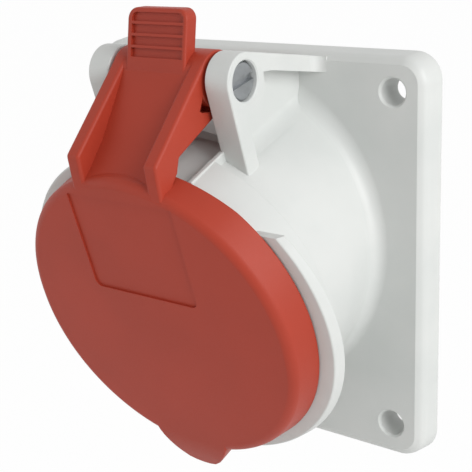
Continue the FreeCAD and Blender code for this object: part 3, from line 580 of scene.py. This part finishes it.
combine(housing, rod(throat_radius, seat_height - 0.5, cut_front, THROAT, 160))
combine(housing, rod(seat_radius, cut_back, seat_height, THROAT, 160))
keyway = block((0, -throat_radius, keyway_middle), (keyway_width, keyway_depth, keyway_length))
combine(housing, make_piece("keyway", keyway, grey_polyamide, THROAT))
for x in (-screw_place, screw_place):
    for z in (-screw_place, screw_place):
        hole = spun([(0, -1), (hole_back_radius, -1), (hole_front_radius, hole_mouth_back),
                     (hole_mouth_radius, hole_mouth_front), (hole_mouth_radius, 8), (0, 8)],
                    48, False)
        combine(housing, make_piece("hole", hole, grey_polyamide,
                                    Matrix.Translation((x, 0, z)) @ BACKWARD))
ring_groove = spun([(groove_inner, -1.0), (groove_outer, -1.0), (groove_outer, groove_depth),
                    (groove_inner, groove_depth)])
combine(housing, make_piece("ring_groove", ring_groove, grey_polyamide, BACKWARD))
combine(housing, rod(pin_bore, -ear_inner - pin_tip_depth, ear_outer + 1, PIN_AXIS, 48))
head_seat = spun([(0, ear_outer - head_bore_depth), (head_bore, ear_outer - head_bore_depth),
                  (head_bore, ear_outer - 0.25), (head_mouth, ear_outer + 0.05),
                  (head_mouth, ear_outer + 1), (0, ear_outer + 1)], 72, False)
combine(housing, make_piece("head_seat", head_seat, grey_polyamide, PIN_AXIS))
pocket = make_piece("pocket", block(pocket_middle, pocket_sides), grey_polyamide, THROAT)
combine(pocket, rod(pocket_floor_radius, 10, 40, THROAT, 160))
combine(housing, pocket)
for side in (-1, 1):
    bead = prism([(side * bead_inner, bead_low), (side * bead_outer, bead_low),
                  (side * bead_outer, bead_high), (side * bead_inner, bead_high)],
                 bead_back, bead_front)
    for vert in bead.verts:
        if vert.co.z > 34 and vert.co.y > 30:
            vert.co.y -= bead_drop
    round_off(bead, bead_edge, 4, 40)
    combine(housing, make_piece("bead", bead, grey_polyamide, THROAT), "UNION")
smooth_by_angle(housing, 24)
even = housing.modifiers.new("shading", "WEIGHTED_NORMAL")
even.keep_sharp = True
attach(housing, "housing_body")
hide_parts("housing")

# Lid disc: the red dished cover with its flared skirt
# Moulded red polyamide. The flat face rolls into a skirt that widens over the collar, and the
# face has a slightly sunk rectangular field below the hinge.
red_polyamide = moulded_plastic("red_moulded_polyamide", "#a93b28", 0.25, 0.5, "#a43926", 0.28)
lid_top = 41.8
lid_under = 39.4
lid_radius = 32.1
lid_roll = 1.6
skirt_radius = 34.1
skirt_end = 35.15
skirt_wall = 2.0
skirt_edge = 0.4
cavity_radius = 30.7
most_drawn_in = 1.4
fullness = 0.033
field_middle = (-0.3, 17.05)
field_width, field_height, field_sunk = 26.2, 22, 0.4
field_corner = 1.5
disc_shape = spun([(0, lid_top), (lid_radius, lid_top), (skirt_radius, skirt_end),
                   (skirt_radius - skirt_wall, skirt_end), (cavity_radius, lid_under),
                   (0, lid_under)], 180, False)
bevel_edges(disc_shape, ring_edges(disc_shape, lid_radius, lid_top), lid_roll, 8)
bevel_edges(disc_shape, ring_edges(disc_shape, skirt_radius, skirt_end), skirt_edge, 4)
# The lower half is a little fuller, where the lobe grows out of it, and the skirt draws in
# towards the hinge arm.
for vert in disc_shape.verts:
    reach = math.hypot(vert.co.x, vert.co.y)
    if reach > 33 and vert.co.z < 39.5:
        up = vert.co.y / reach
        drawn = 6 * (up - 0.75) if vert.co.x > 0 else 3.5 * (up - 0.5)
        drawn = min(most_drawn_in, max(0.0, drawn))
        vert.co.x *= 1 - drawn / reach
        vert.co.y *= 1 - drawn / reach
    if reach > 29:
        down = max(0.0, -vert.co.y / reach)
        fuller = 1 + fullness * (down if vert.co.z > 39.5 else down ** 2)
        vert.co.x *= fuller
        vert.co.y *= fuller
lid = make_piece("lid_cover", disc_shape, red_polyamide, THROAT)

field = block((*field_middle, lid_top + 1 - field_sunk), (field_width, field_height, 2))
bevel_edges(field, [edge for edge in field.edges
                    if abs(edge.verts[0].co.z - edge.verts[1].co.z) > 1
                    and edge.verts[0].co.y < 10], field_corner, 6)
combine(lid, make_piece("field", field, red_polyamide, THROAT))

# Hinge arm: two cheek ribs with a sloping panel between, running up to the round knuckle
# Moulded in one with the disc. The ribs stand on the disc's edge and wrap the knuckle, and the
# panel leaves the disc in a small hollow.
knuckle = 5.6
knuckle_edge = 0.5
rib_inside = 8.0
rib_outside = 11.25
rib_edge = 0.7
relief_depth = 2.4
for side in (-1, 1):
    rib = slab([at_throat(29.0, lid_top - 0.02), at_throat(36.3, lid_top - 0.9)]
               + pin_arc(knuckle, 42.6, 242.4, 24)
               + [at_throat(34.5, lid_top - 7.8), at_throat(32.1, skirt_end + 0.3),
                  at_throat(28.6, 40.2)], side * rib_inside, side * rib_outside)
    round_off(rib, rib_edge, 4, 30)
    combine(lid, make_piece("rib", rib, red_polyamide), "UNION")
    # The nose of the ear beside it gets room from a relief in the rib's outer side.
    relief = slab([by_pin(3.9, 0.5), by_pin(4.65, -1.7), by_pin(6.1, -5.2), by_pin(5.4, -5.6),
                   by_pin(2.0, -5.9), by_pin(0.5, -3.0), by_pin(1.5, 0)],
                  side * (rib_outside - relief_depth), side * (rib_outside + 1))
    combine(lid, make_piece("relief", relief, red_polyamide))
panel_front = [at_throat(*point) for point in (
    (30.0, 41.7), (30.7, 41.6), (31.2, 41.1), (31.8, 40.1), (33.5, 37.4), (36.05, 33.6),
    (40.35, 28.7), (43.6, 25.15), (46.5, 22.3))]
panel_back = [by_pin(0, 2), by_pin(0.5, 0), by_pin(2.6, -2.6), at_throat(34.2, 34.2),
              at_throat(33.2, 35.4), at_throat(30.0, 39.6)]
panel = slab(panel_front + panel_back, -rib_inside - 0.8, rib_inside + 0.8)
combine(lid, make_piece("panel", panel, red_polyamide), "UNION")
knuckle_shape = bmesh.new()
bmesh.ops.create_cone(knuckle_shape, cap_ends=True, segments=96, radius1=knuckle,
                      radius2=knuckle, depth=2 * rib_outside)
round_off(knuckle_shape, knuckle_edge, 3, 60)
combine(lid, make_piece("knuckle", knuckle_shape, red_polyamide, PIN_AXIS), "UNION")

# Grip tab: the flat tongue above the knuckle
# Moulded with the lid. A sunk field crossed by thin ridges gives the finger its hold.
tab_left, tab_right = -7.4, 7.3
tab_thick = 3.3
tab_lean = math.radians(7.8)
tab_rise = 13.4
tab_back = tab_rise * math.tan(tab_lean)
tab_corner = 2.2
tab_edge = 0.55
window_count = 4
window_first, window_pitch = 4.1, 2.28
window_width, window_depth, window_height = 12.7, 1.3, 1.75
window_corner = 1.2
TAB_FACE = (Matrix.Translation((0, -pin_forward - knuckle, pin_rise))
            @ Matrix.Rotation(-tab_lean, 4, "X"))
tab = slab([by_pin(knuckle, 0), by_pin(knuckle - tab_back, tab_rise),
            by_pin(knuckle - tab_back - tab_thick, tab_rise), by_pin(knuckle - tab_thick, 0)],
           tab_left, tab_right)
bevel_edges(tab, [edge for edge in tab.edges
                  if abs(edge.verts[0].co.x - edge.verts[1].co.x) < 0.01
                  and all(vert.co.z > pin_rise + tab_rise - 0.1 for vert in edge.verts)],
            tab_corner, 8)
round_off(tab, tab_edge, 4, 40)
combine(lid, make_piece("tab", tab, red_polyamide), "UNION")
for index in range(window_count):
    bottom = window_first + window_pitch * index
    window = block((0.15, 0, bottom + window_height / 2),
                   (window_width, window_depth, window_height))
    if index == window_count - 1:
        bevel_edges(window, [edge for edge in window.edges
                             if abs(edge.verts[0].co.y - edge.verts[1].co.y) > 1
                             and edge.verts[0].co.z > bottom + 1], window_corner, 6)
    combine(lid, make_piece("window", window, red_polyamide, TAB_FACE))

# Thumb lobe: the tongue on the disc's lower edge that a finger lifts
# Moulded with the lid. Its front runs on from the disc's face and falls away to a round tip.
lobe_under = 37.4
lobe_tip = -39.55
lobe_edge = 0.95
lobe_first_cut, lobe_cut_pitch = -28.9, 0.8
lobe_fall, lobe_fall_from = 0.021, -31.0
half_lobe = [(9.9, -28.0), (9.5, -30.2), (8.9, -31.9), (8.2, -33.3), (7.3, -34.7), (6.4, -36.0),
             (5.2, -37.4), (3.6, -38.8), (1.8, -39.4)]
lobe_shape = prism(half_lobe + [(0, lobe_tip)] + [(-x, y) for x, y in reversed(half_lobe)],
                   lobe_under, lid_top)
for cut in range(12):
    bmesh.ops.bisect_plane(lobe_shape, geom=lobe_shape.verts[:] + lobe_shape.edges[:]
                           + lobe_shape.faces[:], plane_no=(0, 1, 0),
                           plane_co=(0, lobe_first_cut - lobe_cut_pitch * cut, 0))
for vert in lobe_shape.verts:
    if vert.co.z > 40:
        vert.co.z = (lid_top - 0.004
                     - lobe_fall * max(0.0, lobe_fall_from - vert.co.y) ** 2)
round_off(lobe_shape, lobe_edge, 6, 50, lambda edge: all(
    vert.co.y < -28.5 and vert.co.z > 39 for vert in edge.verts))
combine(lid, make_piece("lobe", lobe_shape, red_polyamide, THROAT), "UNION")

# Cuts in the lid: the hubs beside the ears, the spring's room and the pin's bore
# The knuckle ends in two narrower hubs that turn between the ears. It is hollow between them,
# where the spring lies round the pin.
hub_radius, hub_half_length = 4.4, 11.75
spring_room, spring_half_length = 3.9, 7.6
combine(lid, rod(hub_radius, -hub_half_length, hub_half_length, PIN_AXIS), "UNION")
combine(lid, rod(spring_room, -spring_half_length, spring_half_length, PIN_AXIS))
combine(lid, rod(pin_bore, -20, 20, PIN_AXIS, 48))
smooth_by_angle(lid, 24)
even = lid.modifiers.new("shading", "WEIGHTED_NORMAL")
even.keep_sharp = True
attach(lid, "lid_body")
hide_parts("lid")

# Hinge pin: the turned pin that carries the lid
# Zinc plated steel, pushed in from the right until its slotted head sits in the ear's recess.
pin_radius = 2.0
pin_head_radius = 3.7
pin_head_back, pin_head_front = 14.2, 16.8
slot_width, slot_length, slot_cut = 1.4, 9, 1.8
slot_turn = math.radians(13)


def plain_metal(name, code, roughness, scratch_scale):
    """Plated or drawn metal: fine marks along the part keep its shine from being perfect."""
    material = bpy.data.materials.new(name)
    material.use_nodes = True
    material.node_tree.nodes.clear()
    place = add_node(material, "ShaderNodeTexCoord").outputs["Object"]
    marks = add_node(material, "ShaderNodeTexNoise",
                     {"Scale": scratch_scale, "Detail": 3.0}, {"Vector": place})
    shine = add_node(material, "ShaderNodeMapRange",
                     {"From Min": 0.3, "From Max": 0.7, "To Min": roughness - 0.06,
                      "To Max": roughness + 0.08}, {"Value": marks.outputs["Fac"]})
    bump = add_node(material, "ShaderNodeBump", {"Strength": 0.12, "Distance": 0.00003},
                    {"Height": marks.outputs["Fac"]})
    tint = add_node(material, "ShaderNodeMix", {"data_type": "RGBA"},
                    {"Factor": marks.outputs["Fac"]})
    tint.inputs[6].default_value = [c * 0.86 for c in linear(code)[:3]] + [1.0]
    tint.inputs[7].default_value = linear(code)
    surface = add_node(material, "ShaderNodeBsdfPrincipled", {"Metallic": 1.0},
                       {"Base Color": tint.outputs[2], "Roughness": shine.outputs["Result"],
                        "Normal": bump.outputs["Normal"]})
    add_node(material, "ShaderNodeOutputMaterial", {}, {"Surface": surface.outputs["BSDF"]})
    return material


# The plating's marks are 0.67 mm apart, coarser than the real ones, which would not show.
zinc = plain_metal("zinc_plated_steel", "#b4b7ba", 0.34, 1500.0)
pin_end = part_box("hinge_pin")[0][0] * 1000
pin_shape = spun([(0, pin_end), (pin_radius - 0.3, pin_end), (pin_radius, pin_end + 0.3),
                  (pin_radius, pin_head_back), (pin_head_radius - 0.25, pin_head_back),
                  (pin_head_radius, pin_head_back + 0.2), (pin_head_radius, pin_head_front - 0.3),
                  (pin_head_radius - 0.3, pin_head_front), (0, pin_head_front)], 96, False)
pin = make_piece("pin", pin_shape, zinc, PIN_AXIS)
slot_shape = bmesh.new()
bmesh.ops.create_cube(slot_shape, size=1.0, matrix=Matrix.Translation((0, 0, pin_head_front))
                      @ Matrix.Rotation(slot_turn, 4, "Z")
                      @ Matrix.Diagonal((slot_width, slot_length, slot_cut, 1)))
combine(pin, make_piece("slot", slot_shape, zinc, PIN_AXIS))
smooth_by_angle(pin)
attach(pin, "housing_body")
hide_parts("hinge_pin")

# Inner parts: the CAD's own shapes with their finishes
# Hidden behind the lid and the panel: brass contacts with steel clips in their moulded insert, the
# terminal block, the screws, the steel ring that holds the insert, the spring and the gaskets.

# Drawing marks about 0.4 mm apart on the steel, turning marks about 0.55 mm apart on the brass.
spring_steel = plain_metal("drawn_spring_steel", "#8e9092", 0.30, 2500.0)
brass = plain_metal("turned_brass", "#cfa85a", 0.28, 1800.0)
rubber = moulded_plastic("black_moulded_rubber", "#1d1e1f", 0.3, 0.68, "#18191a")
black_polyamide = moulded_plastic("black_moulded_polyamide", "#202224", 0.25, 0.5, "#1b1d1f")
red_insert = moulded_plastic("red_insert_polyamide", "#a03729", 0.22, 0.48, "#963326")
finishes = {
    "lid_spring": spring_steel, "lock_ring": spring_steel,
    "lid_gasket": rubber, "flange_gasket": rubber, "contact_carrier": red_insert,
    "terminal_block": black_polyamide, "carrier_screw": zinc, "terminal_screws": zinc,
}
for pole in ("pe", "n", "l1", "l2", "l3"):
    finishes["contact_" + pole] = brass
    finishes["contact_clip_" + pole] = spring_steel
for name, material in finishes.items():
    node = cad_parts[name]
    node.data.materials.clear()
    node.data.materials.append(material)
